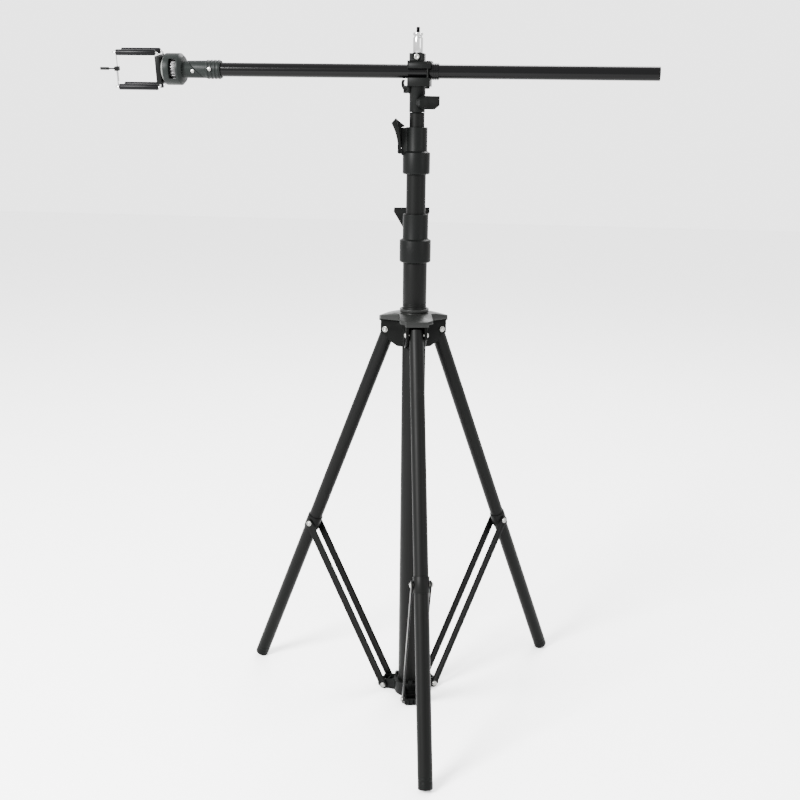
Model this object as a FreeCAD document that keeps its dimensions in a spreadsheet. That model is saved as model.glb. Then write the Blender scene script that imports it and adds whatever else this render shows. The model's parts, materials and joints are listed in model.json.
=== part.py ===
# Telescopic light stand with a boom arm and a phone clamp.
# Millimetres. Origin at the floor on the column's axis, +Z up, the boom along X,
# the phone clamp at -X. Every driving dimension is a cell of the sheet Dims.
import FreeCAD, Part
import math
import os

import Sketcher

Vector = FreeCAD.Vector
Rotation = FreeCAD.Rotation
Placement = FreeCAD.Placement

doc = FreeCAD.newDocument("LightStand")
sheet = doc.addObject("Spreadsheet::Sheet", "Dims")
nodes = []


class Size:
    # A length that carries its number and the sheet expression it comes from.
    def __init__(self, value, text):
        self.value = value
        self.text = text

    def __add__(self, other):
        other = as_size(other)
        return Size(self.value + other.value, f"({self.text} + {other.text})")

    def __sub__(self, other):
        other = as_size(other)
        return Size(self.value - other.value, f"({self.text} - {other.text})")

    def __mul__(self, other):
        other = as_size(other)
        return Size(self.value * other.value, f"({self.text} * {other.text})")

    def __truediv__(self, other):
        other = as_size(other)
        return Size(self.value / other.value, f"({self.text} / {other.text})")

    def __neg__(self):
        return Size(-self.value, f"(0 - {self.text})")

    def __radd__(self, other):
        return as_size(other) + self

    def __rsub__(self, other):
        return as_size(other) - self

    def __rmul__(self, other):
        return as_size(other) * self


def as_size(item):
    if isinstance(item, Size):
        return item
    text = f"{float(item):.6f}"
    return Size(float(item), text if item >= 0 else f"(0 - {text[1:]})")


def cell(alias, value):
    row = len(sheet.getUsedCells()) // 2 + 1
    sheet.set(f"A{row}", alias)
    sheet.set(f"B{row}", str(value))
    sheet.setAlias(f"B{row}", alias)
    return Size(float(value), f"Dims.{alias}")


# Column and telescoping tubes, by radius, wall and height above the floor
column_radius = cell("column_radius", 20)
column_wall = cell("column_wall", 2)
column_low = cell("column_low", 3)
column_top = cell("column_top", 822)
mid_radius = cell("mid_radius", 16)
mid_low = cell("mid_low", 112)
mid_top = cell("mid_top", 962)
top_radius = cell("top_radius", 12.2)
top_low = cell("top_low", 165)
top_top = cell("top_top", 1024.5)
tube_wall = cell("tube_wall", 1.5)
slide_gap = cell("slide_gap", 0.3)
fit_gap = cell("fit_gap", 0.05)
pin_gap = cell("pin_gap", 0.06)

# Legs and braces
leg_radius = cell("leg_radius", 12)
leg_wall = cell("leg_wall", 1.4)
leg_length = cell("leg_length", 721)
leg_head = cell("leg_head", 7)
foot_length = cell("foot_length", 20)
foot_round = cell("foot_round", 2.5)
crown_height = cell("crown_height", 671.6)
crown_reach = cell("crown_reach", 46)
spider_reach = cell("spider_reach", 45.5)
spider_height = cell("spider_height", 8)
brace_along = cell("brace_along", 405.3)
brace_width = cell("brace_width", 14)
brace_inner = cell("brace_inner", 13.9)
brace_thick = cell("brace_thick", 2.5)
bolt_radius = cell("bolt_radius", 3)
bolt_head = cell("bolt_head", 5.2)
bolt_head_tall = cell("bolt_head_tall", 2.8)

# Crown
hub_radius = cell("hub_radius", 22)
hub_drop = cell("hub_drop", 27)
cheek_inner = cell("cheek_inner", 12.8)
cheek_outer = cell("cheek_outer", 17.4)
cheek_end = cell("cheek_end", 54.5)
cap_half_width = cell("cap_half_width", 27)
cap_low = cell("cap_low", 18.4)
cap_high = cell("cap_high", 30.2)
ring_radius = cell("ring_radius", 24.5)
ring_high = cell("ring_high", 37.7)

# Lock collars and their levers
low_collar_base = cell("low_collar_base", 786.5)
low_collar_step = cell("low_collar_step", 824.7)
low_collar_top = cell("low_collar_top", 865.4)
low_collar_wide = cell("low_collar_wide", 25.9)
low_collar_slim = cell("low_collar_slim", 21)
up_collar_base = cell("up_collar_base", 929.5)
up_collar_step = cell("up_collar_step", 965.6)
up_collar_top = cell("up_collar_top", 1003.8)
up_collar_wide = cell("up_collar_wide", 22.3)
up_collar_slim = cell("up_collar_slim", 17.4)
lug_reach = cell("lug_reach", 7)
lug_half = cell("lug_half", 8)
lever_pin_reach = cell("lever_pin_reach", 9.5)
lever_pin_radius = cell("lever_pin_radius", 2)
knuckle_round = cell("knuckle_round", 3.8)
low_tip_half = cell("low_tip_half", 30)
low_tip_rise = cell("low_tip_rise", 0.2)
up_tip_half = cell("up_tip_half", 27)
up_tip_rise = cell("up_tip_rise", 6.2)

# Spigots, boom and clamp
spigot_radius = cell("spigot_radius", 8)
spigot_shank = cell("spigot_shank", 7)
thread_radius = cell("thread_radius", 3.175)
receiver_low = cell("receiver_low", 1027)
receiver_high = cell("receiver_high", 1054)
receiver_radius = cell("receiver_radius", 12.6)
boom_height = cell("boom_height", 1090)
boom_radius = cell("boom_radius", 11)
boom_left = cell("boom_left", -345)
boom_right = cell("boom_right", 378)
boom_bush = cell("boom_bush", 12.3)
clamp_left = cell("clamp_left", -12.6)
clamp_right = cell("clamp_right", 23.1)
clamp_half = cell("clamp_half", 17)
clamp_low = cell("clamp_low", 1067)
clamp_high = cell("clamp_high", 1106)
jaw_low = cell("jaw_low", 1080)
jaw_high = cell("jaw_high", 1094)
spigot_base = cell("spigot_base", 1117.5)
spigot_top = cell("spigot_top", 1149)
spigot_groove = cell("spigot_groove", 1143)
thread_top = cell("thread_top", 1157.7)

# Head and phone clamp: places along X, sizes about the boom's axis
joint_middle = cell("joint_middle", -362.7)
knuckle_radius = cell("knuckle_radius", 13.8)
axle_radius = cell("axle_radius", 4)
sleeve_right = cell("sleeve_right", -321)
sleeve_radius = cell("sleeve_radius", 14.6)
cup_right = cell("cup_right", -383)
cup_left = cell("cup_left", -413)
cup_radius = cell("cup_radius", 25.2)
wheel_radius = cell("wheel_radius", 19.8)
wheel_right = cell("wheel_right", -392)
wheel_left = cell("wheel_left", -402.6)
pad_left = cell("pad_left", -417.2)
base_right = cell("base_right", -417.8)
base_left = cell("base_left", -426.4)
base_half_tall = cell("base_half_tall", 22)
base_half_deep = cell("base_half_deep", 18)
grip_left = cell("grip_left", -492)
grip_right = cell("grip_right", -426)
guide_left = cell("guide_left", -498)
grip_radius = cell("grip_radius", 4.8)
grip_spread = cell("grip_spread", 13)
grip_height = cell("grip_height", 27.2)
wire_radius = cell("wire_radius", 1.5)
thin_wire = cell("thin_wire", 0.9)
lock_screw = cell("lock_screw", -366)
doc.recompute()

# Directions about the column, in degrees from +X
leg_turns = {"front": -78, "right": 42, "left": 162}
crown_knob_turn = 102
receiver_knob_turn = -58
upper_lever_turn = 187
lower_lever_turn = 107
clamp_roll = 9

# The leg's lean from vertical that puts the rounded edge of its foot on the floor
reach_down = leg_length.value - foot_round.value
reach_side = leg_radius.value - foot_round.value
leg_lean = math.degrees(
    math.atan2(reach_side, reach_down)
    + math.acos((crown_height.value - foot_round.value) / math.hypot(reach_down, reach_side))
)
brace_top = Vector(
    crown_reach.value + brace_along.value * math.sin(math.radians(leg_lean)),
    0,
    crown_height.value - brace_along.value * math.cos(math.radians(leg_lean)),
)
brace_foot = Vector(spider_reach.value, 0, spider_height.value)
brace_length = brace_top.distanceToPoint(brace_foot)
brace_lean = math.degrees(math.atan2(brace_top.x - brace_foot.x, brace_top.z - brace_foot.z))

# The head swivels about an axis that rises at 45 degrees towards the boom
joint_frame = Placement(
    Vector(joint_middle.value, 0, boom_height.value), Rotation(Vector(0, 1, 0), 45))

turn_to = {
    "x": Rotation(Vector(0, 1, 0), 90),
    "y": Rotation(Vector(1, 0, 0), -90),
    "z": Rotation(),
}


def about_z(angle):
    return Placement(Vector(), Rotation(Vector(0, 0, 1), angle))


def bind(thing, name, size):
    size = as_size(size)
    setattr(thing, name, size.value)
    if "Dims." in size.text:
        thing.setExpression(name, size.text)


def place(thing, spot, turn):
    sizes = [as_size(item) for item in spot]
    thing.Placement = Placement(Vector(*[size.value for size in sizes]), turn)
    for axis, size in zip("xyz", sizes):
        if "Dims." in size.text:
            thing.setExpression(f".Placement.Base.{axis}", size.text)
    return thing


def block(x, y, z):
    # A box from three (low, high) pairs.
    piece = doc.addObject("Part::Box", "block")
    for name, (low, high) in zip(("Length", "Width", "Height"), (x, y, z)):
        bind(piece, name, as_size(high) - low)
    return place(piece, (x[0], y[0], z[0]), Rotation())


def rod(radius, length, spot=(0, 0, 0), along="z"):
    piece = doc.addObject("Part::Cylinder", "rod")
    bind(piece, "Radius", radius)
    bind(piece, "Height", length)
    return place(piece, spot, turn_to[along])


def cone(radius_low, radius_high, length, spot=(0, 0, 0), along="z"):
    piece = doc.addObject("Part::Cone", "cone")
    bind(piece, "Radius1", radius_low)
    bind(piece, "Radius2", radius_high)
    bind(piece, "Height", length)
    return place(piece, spot, turn_to[along])


def fuse(*pieces):
    whole = doc.addObject("Part::MultiFuse", "fuse")
    whole.Shapes = list(pieces)
    doc.recompute()
    return whole


def cut(base, *tools):
    whole = doc.addObject("Part::Cut", "cut")
    whole.Base = base
    whole.Tool = tools[0] if len(tools) == 1 else fuse(*tools)
    doc.recompute()
    return whole


def meet(first, second):
    whole = doc.addObject("Part::Common", "meet")
    whole.Base = first
    whole.Tool = second
    doc.recompute()
    return whole


def group(*pieces):
    whole = doc.addObject("Part::Compound", "group")
    whole.Links = list(pieces)
    doc.recompute()
    return whole


def solid(shape):
    # A shape that primitives and sketches don't reach, such as a bent wire.
    piece = doc.addObject("Part::Feature", "solid")
    piece.Shape = shape
    return piece


def draw(sketch, points):
    # A closed outline whose corners are each held by two bound distances.
    corners = [(as_size(a), as_size(b)) for a, b in points]
    for index, (a, b) in enumerate(corners):
        c, d = corners[(index + 1) % len(corners)]
        start = Vector(a.value, b.value, 0)
        sketch.addGeometry(Part.LineSegment(start, Vector(c.value, d.value, 0)))
    for index in range(len(corners)):
        after = (index + 1) % len(corners)
        sketch.addConstraint(Sketcher.Constraint("Coincident", index, 2, after, 1))
    for index, corner in enumerate(corners):
        for kind, size in zip(("DistanceX", "DistanceY"), corner):
            rule = Sketcher.Constraint(kind, -1, 1, index, 1, size.value)
            number = sketch.addConstraint(rule)
            if "Dims." in size.text:
                sketch.setExpression(f"Constraints[{number}]", size.text)


def start_body(plane, offset):
    body = doc.addObject("PartDesign::Body", "body")
    sketch = body.newObject("Sketcher::SketchObject", "outline")
    flat = [item for item in body.Origin.OriginFeatures if item.Role == plane][0]
    sketch.AttachmentSupport = [(flat, "")]
    sketch.MapMode = "FlatFace"
    offset = as_size(offset)
    sketch.AttachmentOffset = Placement(Vector(0, 0, offset.value), Rotation())
    if "Dims." in offset.text:
        sketch.setExpression(".AttachmentOffset.Base.z", offset.text)
    return body, sketch


def turned(points, rounds=(), along="z", spot=(0, 0, 0)):
    # An outline of (radius, height) turned about Z. Rounds are (radius, height, fillet).
    body, sketch = start_body("XZ_Plane", 0)
    draw(sketch, points)
    spin = body.newObject("PartDesign::Revolution", "spin")
    spin.Profile = sketch
    spin.ReferenceAxis = (sketch, ["V_Axis"])
    spin.Angle = 360
    doc.recompute()
    for radius, height, fillet_radius in rounds:
        radius, height = as_size(radius).value, as_size(height).value
        last = body.Tip
        names = [
            f"Edge{number}"
            for number, edge in enumerate(last.Shape.Edges, 1)
            if isinstance(edge.Curve, Part.Circle)
            and abs(edge.Curve.Radius - radius) < 0.01
            and abs(edge.Curve.Center.z - height) < 0.01
        ]
        fillet = body.newObject("PartDesign::Fillet", "fillet")
        fillet.Base = (last, names)
        bind(fillet, "Radius", fillet_radius)
        doc.recompute()
    return place(body, spot, turn_to[along])


def prism(points, plane, low, high):
    # An outline in a plane, padded between two places along the plane's own axis.
    low, high = as_size(low), as_size(high)
    body, sketch = start_body(plane, -high if plane == "XZ_Plane" else low)
    draw(sketch, points)
    pad = body.newObject("PartDesign::Pad", "pad")
    pad.Profile = sketch
    bind(pad, "Length", high - low)
    doc.recompute()
    return body


def both_sides(points, plane, low, high):
    return [prism(points, plane, low, high), prism(points, plane, -high, -low)]


def moved(piece, frame):
    # The piece keeps its own bound place, and its holder carries the frame.
    holder = group(piece)
    holder.Placement = frame
    return holder


def around(make, angles):
    # The same piece made once for each direction about the column.
    return [moved(make(), about_z(angle)) for angle in angles]


def node(label, piece, frame=None):
    if frame is not None:
        piece = moved(piece, frame)
    piece.Label = label
    nodes.append(piece)
    return piece


def wire_path(points, bend):
    # Straight runs joined by tangent arcs of one radius.
    edges = []
    start = points[0]
    for before, corner, after in zip(points, points[1:], points[2:]):
        back = (before - corner).normalize()
        ahead = (after - corner).normalize()
        half = back.getAngle(ahead) / 2
        leave = corner + back * (bend / math.tan(half))
        join = corner + ahead * (bend / math.tan(half))
        centre = corner + (back + ahead).normalize() * (bend / math.sin(half))
        middle = centre + (corner - centre).normalize() * bend
        edges.append(Part.LineSegment(start, leave).toShape())
        edges.append(Part.Arc(leave, middle, join).toShape())
        start = join
    edges.append(Part.LineSegment(start, points[-1]).toShape())
    return Part.Wire(edges)


def bent_wire(points, radius, bend):
    path = wire_path(points, bend)
    section = Part.Wire([Part.makeCircle(radius, points[0], points[1] - points[0])])
    return path.makePipeShell([section], True, False)


def headed_bolt(radius, half_length, head_radius, head_tall):
    # A bolt along Y with a domed head at each end, as a riveted pin or a bolt and nut.
    shank = rod(radius, half_length * 2, (0, -half_length, 0), "y")
    heads = [
        cone(head_radius, head_radius * 0.62, head_tall, (0, half_length, 0), "y"),
        cone(head_radius * 0.62, head_radius, head_tall, (0, -half_length - head_tall, 0), "y"),
    ]
    return fuse(shank, *heads)


# Column: tube and the fixed lower spider that the braces stand on
def column_pieces():
    bore = column_radius - column_wall
    tube = turned([
        (bore, column_low), (column_radius, column_low),
        (column_radius, column_top), (bore, column_top),
    ])
    node("column_tube", tube)
    node("lower_spider", lower_spider())


def spider_ear():
    # An open channel with two cross ribs and a thicker ribbed end
    side = [
        (22, 2), (50, 1.2), (57, 3), (58, 8), (56, 14), (48, 17), (34, 20), (22, 24),
    ]
    cheeks = both_sides(side, "XZ_Plane", 9.5, 12.5)
    floor = block((22, 56), (-11, 11), (1.6, 4.6))
    ribs = [block((along, along + 2.5), (-11, 11), (2, 15)) for along in (32, 41)]
    end = block((51.5, 56.5), (-11, 11), (2, 12.5))
    teeth = [block((56, 57.6), (across, across + 3), (3, 11)) for across in (-8.5, -1.5, 5.5)]
    return fuse(*cheeks, floor, *ribs, end, *teeth)


def lower_spider():
    hub = turned([(0, 0.6), (27, 0.6), (27, 27), (0, 27)], rounds=[(27, 0.6, 3), (27, 27, 1.2)])
    ears = around(spider_ear, leg_turns.values())
    lugs = around(lambda: block((23, 27.5), (-3.5, 3.5), (20, 33)), leg_turns.values())
    bore = rod(column_radius + fit_gap, 40, (0, 0, column_low - fit_gap))
    return cut(fuse(hub, *ears, *lugs), bore)


# Crown: casting with six cheeks, cover and pivot bolts
def crown_cheeks():
    side = [
        (13, crown_height - hub_drop), (23, crown_height - hub_drop),
        (36, crown_height - 20), (48, crown_height - 9.5), (cheek_end, crown_height - 6),
        (cheek_end, crown_height + cap_low - 0.4), (13, crown_height + cap_low - 0.4),
    ]
    return fuse(*both_sides(side, "XZ_Plane", cheek_inner, cheek_outer))


def crown_holes():
    pivot = rod(bolt_radius + pin_gap, cheek_outer * 2 + 2,
                (crown_reach, -cheek_outer - 1, crown_height), "y")
    return pivot


def crown_body():
    hub = rod(hub_radius, hub_drop + cap_low - 0.4, (0, 0, crown_height - hub_drop))
    cheeks = around(crown_cheeks, leg_turns.values())
    holes = around(crown_holes, leg_turns.values())
    bore = rod(column_radius + slide_gap, hub_drop + 40, (0, 0, crown_height - hub_drop - 5))
    knob_hole = moved(rod(3.3, 12, (18, 0, crown_height + 4), "x"), about_z(crown_knob_turn))
    whole = cut(fuse(hub, *cheeks), *holes, knob_hole)
    return cut(whole, bore)


def crown_lobe():
    base, top = crown_height + cap_low, crown_height + cap_high
    side = prism([
        (0, base), (cheek_end + 0.4, base), (cheek_end + 0.4, base - 4),
        (cheek_end + 2.8, base - 4), (cheek_end + 2.8, top - 6.5), (25, top), (0, top),
    ], "XZ_Plane", -cap_half_width, cap_half_width)
    plan = prism([
        (0, -cap_half_width), (cheek_end - 5, -cap_half_width), (cheek_end + 3, 10 - cap_half_width),
        (cheek_end + 3, cap_half_width - 10), (cheek_end - 5, cap_half_width), (0, cap_half_width),
    ], "XY_Plane", base - 6, top + 2)
    return meet(side, plan)


def crown_cap():
    lobes = around(crown_lobe, leg_turns.values())
    low, top = crown_height + cap_high, crown_height + ring_high
    ring = turned([
        (0, low - 3), (ring_radius - 1.6, low - 3), (ring_radius - 1.6, low + 2),
        (ring_radius, low + 2), (ring_radius, top), (0, top),
    ], rounds=[(ring_radius, top, 1.2)])
    bore = rod(column_radius + slide_gap, 60, (0, 0, crown_height))
    return cut(fuse(*lobes, ring), bore)


def crown_pieces():
    node("crown_body", crown_body())
    node("crown_cap", crown_cap())

    def pivot_bolt():
        bolt = headed_bolt(bolt_radius, cheek_outer + 0.05, bolt_head, bolt_head_tall)
        return place(bolt, (crown_reach, 0, crown_height), Rotation())

    node("leg_pivot_bolts", group(*around(pivot_bolt, leg_turns.values())))


def lobed_knob(stem_radius, stem_start, stem_end, grip_radius_, grip_end, lobes):
    # A lobed grip on a stem, along +X
    stem = rod(stem_radius, stem_end - stem_start + 4, (stem_start, 0, 0), "x")
    collar = rod(grip_radius_ * 0.6, 4, (stem_end, 0, 0), "x")
    grip = rod(grip_radius_, grip_end - stem_end - 3, (stem_end + 3, 0, 0), "x")
    hollows = []
    for index in range(lobes):
        angle = 2 * math.pi * (index + 0.5) / lobes
        reach = grip_radius_ * 1.12
        spot = (stem_end + 2, reach * math.cos(angle), reach * math.sin(angle))
        hollows.append(rod(grip_radius_ * 0.3, grip_end - stem_end, spot, "x"))
    return fuse(stem, collar, cut(grip, *hollows))


def crown_knob():
    knob = lobed_knob(3, 20.4, 33, 12, 49, 6)
    frame = about_z(crown_knob_turn).multiply(
        Placement(Vector(0, 0, crown_height.value + 4), Rotation()))
    node("crown_knob", knob, frame)


# Legs: each is drawn upright below its pivot, then leaned out and turned about the column
def leg_frame(angle):
    lean = Placement(
        Vector(crown_reach.value, 0, crown_height.value),
        Rotation(Vector(0, 1, 0), -leg_lean))
    return about_z(angle).multiply(lean)


def leg_pieces(side, angle):
    frame = leg_frame(angle)
    bore = leg_radius - leg_wall
    tube = turned([
        (bore, -leg_length + foot_length), (leg_radius, -leg_length + foot_length),
        (leg_radius, leg_head), (bore, leg_head),
    ])
    pivot_hole = rod(bolt_radius + pin_gap, 30, (0, -15, 0), "y")
    brace_hole = rod(bolt_radius + fit_gap, 30, (0, -15, -brace_along), "y")
    node(f"leg_tube_{side}", cut(tube, pivot_hole, brace_hole), frame)
    tip = -leg_length
    foot = turned([
        (0, tip), (leg_radius, tip), (leg_radius, tip + foot_length),
        (bore - fit_gap, tip + foot_length), (bore - fit_gap, tip + foot_length + 18),
        (bore - 2, tip + foot_length + 18), (bore - 2, tip + 6), (0, tip + 6),
    ], rounds=[(leg_radius, tip, foot_round)])
    node(f"leg_foot_{side}", foot, frame)
    band = turned([
        (leg_radius + fit_gap, 13 - brace_along), (brace_inner - 0.4, 13 - brace_along),
        (brace_inner - 0.4, -13 - brace_along), (leg_radius + fit_gap, -13 - brace_along),
    ])
    band_hole = rod(bolt_radius + fit_gap, 30, (0, -15, -brace_along), "y")
    node(f"brace_band_{side}", cut(band, band_hole), frame)
    bolt = headed_bolt(bolt_radius, brace_inner + brace_thick + 0.2, bolt_head, bolt_head_tall)
    node(f"brace_bolt_{side}", place(bolt, (0, 0, -brace_along), Rotation()), frame)


# Braces: two flat bars each, drawn upright from the lower pivot
def brace_pieces(side, angle):
    lean = Placement(brace_foot, Rotation(Vector(0, 1, 0), brace_lean))
    frame = about_z(angle).multiply(lean)
    bars = []
    rivets = []
    for way in (-1, 1):
        low = brace_inner if way > 0 else -brace_inner - brace_thick
        strip = block((-brace_width / 2, brace_width / 2), (low, low + brace_thick), (0, brace_length))
        ends = [
            rod(brace_width / 2, brace_thick, (0, low, 0), "y"),
            rod(brace_width / 2, brace_thick, (0, low, brace_length), "y"),
        ]
        hole = rod(bolt_radius + pin_gap, brace_thick + 2, (0, low - 1, brace_length), "y")
        rivet_hole = rod(bolt_radius + fit_gap, brace_thick + 2, (0, low - 1, 0), "y")
        bars.append(cut(fuse(strip, *ends), hole, rivet_hole))
        shank_low = 12.9 if way > 0 else -brace_inner - brace_thick - 0.05
        shank = rod(bolt_radius, brace_inner + brace_thick + 0.05 - 12.9, (0, shank_low, 0), "y")
        if way > 0:
            head = cone(bolt_head, bolt_head * 0.62, bolt_head_tall,
                        (0, brace_inner + brace_thick + 0.05, 0), "y")
        else:
            head = cone(bolt_head * 0.62, bolt_head, bolt_head_tall,
                        (0, -brace_inner - brace_thick - 0.05 - bolt_head_tall, 0), "y")
        rivets.append(fuse(shank, head))
    node(f"brace_bars_{side}", group(*bars), frame)
    node(f"brace_rivets_{side}", group(*rivets), frame)


# Telescoping sections
def section_tube(name, radius, wall, low, top, outer_bore):
    tube = turned([(radius - wall, low), (radius, low), (radius, top), (radius - wall, top)])
    node(name, tube)
    bush = turned([
        (radius + fit_gap, low), (outer_bore - slide_gap, low),
        (outer_bore - slide_gap, low + 28), (radius + fit_gap, low + 28),
    ])
    node(name + "_bush", bush)


def collar(base, step, top, wide, slim, wide_bore, slim_bore, turn):
    # A stepped sleeve with a split lug, whose knuckle takes the lever's pin
    body = turned([
        (slim_bore, base), (wide, base), (wide, step - 2), (slim + 1.4, step),
        (slim, step + 1), (slim, top), (slim_bore, top),
    ], rounds=[(wide, base, 3), (slim, top, 1)])
    lug = block((slim - 3, slim + lug_reach), (-lug_half, lug_half), (step - 6, top - 1))
    reach = slim + lever_pin_reach
    knuckle = rod(knuckle_round, lug_half * 2, (reach, -lug_half, step), "y")
    root = block((slim + lug_reach - 1, reach), (-lug_half, lug_half),
                 (step - knuckle_round, step + knuckle_round))
    slit = block((0, slim + 20), (-1, 1), (step + 4.5, top + 5))
    pin_hole = rod(lever_pin_radius + fit_gap, 30, (reach, -15, step), "y")
    parts = [moved(piece, about_z(turn)) for piece in (lug, knuckle, root, slit, pin_hole)]
    wide_hole = rod(wide_bore, step - base - 2.4, (0, 0, base - 0.1))
    slim_hole = rod(slim_bore, top - base + 20, (0, 0, base - 10))
    return cut(fuse(body, *parts[:3]), *parts[3:], wide_hole, slim_hole)


def collar_sleeve(inner, outer, low, top, turn):
    sleeve = turned([(inner, low), (outer, low), (outer, top), (inner, top)])
    slit = block((0, outer + 5), (-1.5, 1.5), (low - 1, top + 1))
    return cut(sleeve, moved(slit, about_z(turn)))


def lever_pin(slim, step, turn):
    half = lug_half + 3.6
    return moved(rod(lever_pin_radius, half * 2, (slim + lever_pin_reach, -half, step), "y"),
                 about_z(turn))


def lever_taper(near, wide, tall):
    # Narrow at the fork, and flared towards the tip
    half = [(-near, -10), (-near, 8), (-wide, tall), (-wide, tall + 20)]
    corners = half + [(-across, height) for across, height in reversed(half)]
    points = [Vector(-20, across, height) for across, height in corners]
    return Part.Face(Part.makePolygon(points + points[:1])).extrude(Vector(60, 0, 0))


def lock_lever(slim, step, top, turn, half, rise):
    # A curved strip that widens to a flared tip, on two forked cheeks that hold the pin.
    # Drawn with x outward and z up from the pin, and shut against the lug.
    tall = (top - step).value
    inner = lug_reach.value - lever_pin_reach.value + 0.6
    thick = 5.1
    low, brim = 5.5, tall + rise
    tip = brim + 7.6
    outside = Part.Arc(Vector(inner + thick, 0, low), Vector(inner + 7.8, 0, tall * 0.65),
                       Vector(inner + 15.7, 0, brim))
    end = Part.LineSegment(Vector(inner + 15.7, 0, brim), Vector(inner + 8.7, 0, tip))
    inside = Part.Arc(Vector(inner + 8.7, 0, tip), Vector(inner + 2.6, 0, tall * 0.78),
                      Vector(inner, 0, low))
    root = Part.LineSegment(Vector(inner, 0, low), Vector(inner + thick, 0, low))
    profile = Part.Face(Part.Wire([edge.toShape() for edge in (outside, end, inside, root)]))
    profile.translate(Vector(0, -half, 0))
    near = lug_half.value + 3.4
    strip = profile.extrude(Vector(0, 2 * half, 0)).common(lever_taper(near, half, tall))
    cheeks = both_sides([(inner, 0), (inner + thick + 0.3, 0), (inner + thick + 0.3, 12), (inner, 12)],
                        "XZ_Plane", lug_half + 0.4, lug_half + 3.4)
    # The cam block behind the strip reaches in over the lug's top
    web = prism([
        (inner - 0.5, low), (inner - 0.5, tall - 0.4), (-7, tall + 0.4), (-7, tall + 2.6), (inner + 8.2, tip - 1),
        (inner + 9, brim - 2.2), (inner + 4, tall * 0.5), (inner + 3, low),
    ], "XZ_Plane", -5.5, 5.5)
    eyes = [rod(knuckle_round + 0.2, 3, (0, side, 0), "y")
            for side in (lug_half + 0.4, -lug_half - 3.4)]
    hole = rod(lever_pin_radius + pin_gap, 60, (0, -30, 0), "y")
    lever = cut(fuse(solid(strip), web, *cheeks, *eyes), hole)
    spot = Placement(Vector((slim + lever_pin_reach).value, 0, step.value), Rotation())
    return lever, about_z(turn).multiply(spot)


def section_pieces():
    column_bore = column_radius - column_wall
    section_tube("mid_tube", mid_radius, tube_wall, mid_low, mid_top, column_bore)
    section_tube("top_tube", top_radius, tube_wall, top_low, top_top, mid_radius - tube_wall)
    low_bore, up_bore = column_bore, mid_radius - 0.8
    lower = collar(low_collar_base, low_collar_step, low_collar_top, low_collar_wide,
                   low_collar_slim, column_radius + fit_gap, low_bore, lower_lever_turn)
    node("lower_collar", lower)
    node("lower_collar_sleeve", collar_sleeve(
        mid_radius + slide_gap, low_bore - fit_gap, low_collar_step, low_collar_top - 1,
        lower_lever_turn))
    node("lower_lever_pin", lever_pin(low_collar_slim, low_collar_step, lower_lever_turn))
    upper = collar(up_collar_base, up_collar_step, up_collar_top, up_collar_wide,
                   up_collar_slim, mid_radius + fit_gap, up_bore, upper_lever_turn)
    node("upper_collar", upper)
    node("upper_collar_sleeve", collar_sleeve(
        top_radius + slide_gap, up_bore - fit_gap, up_collar_step, up_collar_top - 1,
        upper_lever_turn))
    node("upper_lever_pin", lever_pin(up_collar_slim, up_collar_step, upper_lever_turn))
    lever, frame = lock_lever(low_collar_slim, low_collar_step, low_collar_top, lower_lever_turn,
                              low_tip_half.value, low_tip_rise.value)
    node("lower_lever", lever, frame)
    lever, frame = lock_lever(up_collar_slim, up_collar_step, up_collar_top, upper_lever_turn,
                              up_tip_half.value, up_tip_rise.value)
    node("upper_lever", lever, frame)
    spigot = turned([
        (0, top_top - 28), (top_radius - tube_wall - fit_gap, top_top - 28),
        (top_radius - tube_wall - fit_gap, top_top), (top_radius, top_top),
        (top_radius, receiver_low - 0.4), (spigot_radius, receiver_low - 0.4),
        (spigot_radius, receiver_high - 3.5), (spigot_radius - 1.2, receiver_high - 2.3),
        (0, receiver_high - 2.3),
    ])
    node("stand_spigot", spigot)


# Boom clamp: receiver, open jaw, spigot block, and what is fixed to it
def clamp_body():
    receiver = turned([
        (0, receiver_low), (receiver_radius, receiver_low), (receiver_radius, receiver_high),
        (receiver_radius + 0.5, receiver_high + 1), (receiver_radius + 0.5, clamp_low + 1),
        (0, clamp_low + 1),
    ], rounds=[(receiver_radius, receiver_low, 1)])
    front, back = -clamp_half, clamp_half
    lower = block((clamp_left, clamp_right - 1.8), (front, back), (clamp_low, jaw_low))
    upper = prism([
        (front, jaw_high), (back, jaw_high), (back, clamp_high), (front + 5, clamp_high),
        (front + 1.4, clamp_high - 1.6), (front, clamp_high - 5),
    ], "YZ_Plane", clamp_left, clamp_right)
    wall = block((clamp_left, clamp_right - 1.8), (boom_bush - 1, back), (clamp_low, clamp_high))
    cheek = block((clamp_left - 2.2, clamp_left), (front + 0.6, back - 0.6), (clamp_low - 1, clamp_high))
    top = block((-12.3, 11.6), (-11, 11), (clamp_high - 1, spigot_base))
    lever_lugs = [
        block((-21.5, -11), (low, low + 3), (1056.5, clamp_low + 1)) for low in (-10, 7)
    ]
    solid_part = fuse(receiver, lower, upper, wall, cheek, top, *lever_lugs)
    boom_bore = rod(boom_bush + fit_gap, 80, (-40, 0, boom_height), "x")
    mouth = block((clamp_left - 6, clamp_right + 5), (front - 5, 0), (jaw_low, jaw_high))
    socket = rod(spigot_radius + pin_gap, receiver_high - receiver_low - 1.3, (0, 0, receiver_low - 0.1))
    knob_hole = moved(rod(3.3, 12, (5, 0, receiver_low + 15), "x"), about_z(receiver_knob_turn))
    spigot_hole = rod(spigot_shank + fit_gap, 14, (0, 0, spigot_base - 9))
    screw_hole = rod(2.55, 10, (0, -17, spigot_base - 5.4), "y")
    jaw_hole = rod(2.06, 60, (18, -14.9, clamp_low - 10))
    trunnion_hole = rod(2.06, 30, (-18, -15, 1061.5), "y")
    return cut(solid_part, boom_bore, mouth, socket, knob_hole, spigot_hole, screw_hole,
               jaw_hole, trunnion_hole)


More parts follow.
